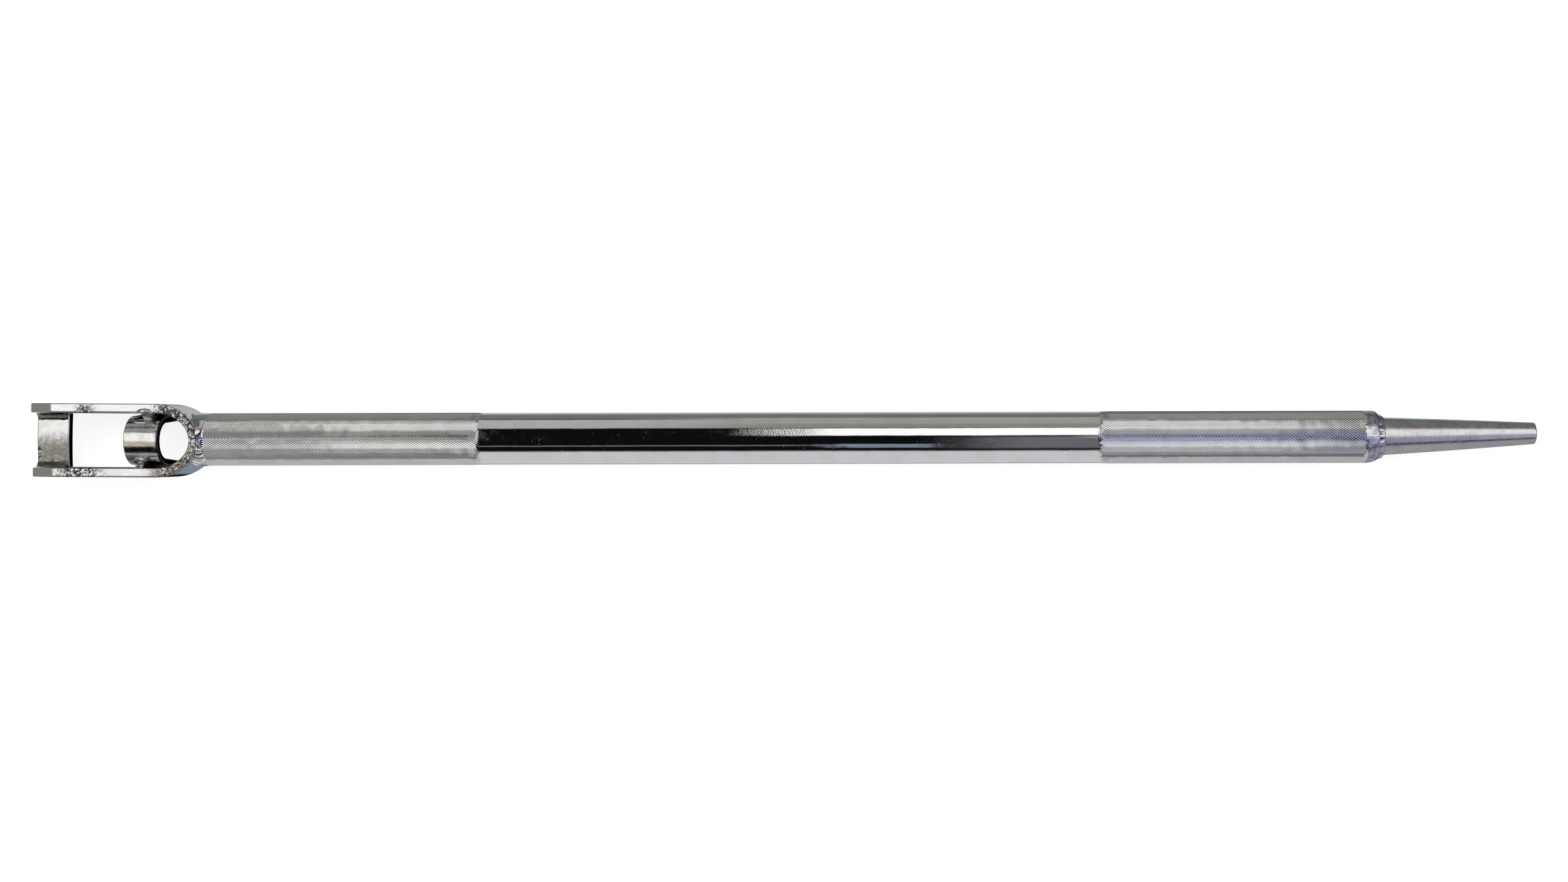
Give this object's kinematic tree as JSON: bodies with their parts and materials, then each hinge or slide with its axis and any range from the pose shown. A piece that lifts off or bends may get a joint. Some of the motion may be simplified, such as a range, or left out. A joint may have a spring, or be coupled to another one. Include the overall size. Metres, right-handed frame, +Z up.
{
  "type": "combination winch bar",
  "caption": "Plated steel lever bar with knurled grips, a tapered round tip for strap winch caps and an open box end with cross saddles for load binder handles.",
  "frame": {"origin": "under the middle of the bar's length, on the plane of the head strap's lower edge", "axes": "+X along the bar from the box end to the tip, +Z up from the lower edge of the head strap, +Y across the head"},
  "size_m": [0.8842, 0.0438, 0.0318],
  "materials": {
    "tube_chrome": "bright chrome plate on polished tube, diamond knurling on the grips",
    "strap_chrome": "chrome plate over hot-rolled flat bar, crackled on the cut edges",
    "saddle_chrome": "chrome plate over pressed plate, slightly pitted",
    "weld_chrome": "chrome plate over weld beads, lumpy, faint blue and violet tint",
    "turned_chrome": "satin plate over fine turning grooves"
  },
  "bodies": {
    "root": {"head_strap": "strap_chrome", "front_saddle": "saddle_chrome", "front_saddle_weld_upper": "weld_chrome", "front_saddle_weld_lower": "weld_chrome", "rear_saddle": "saddle_chrome", "rear_saddle_weld_upper": "weld_chrome", "rear_saddle_weld_lower": "weld_chrome", "neck_weld_upper": "weld_chrome", "neck_weld_lower": "weld_chrome", "handle_tube": "tube_chrome", "taper_tip": "turned_chrome", "tip_weld": "weld_chrome"}
  },
  "joints": []
}
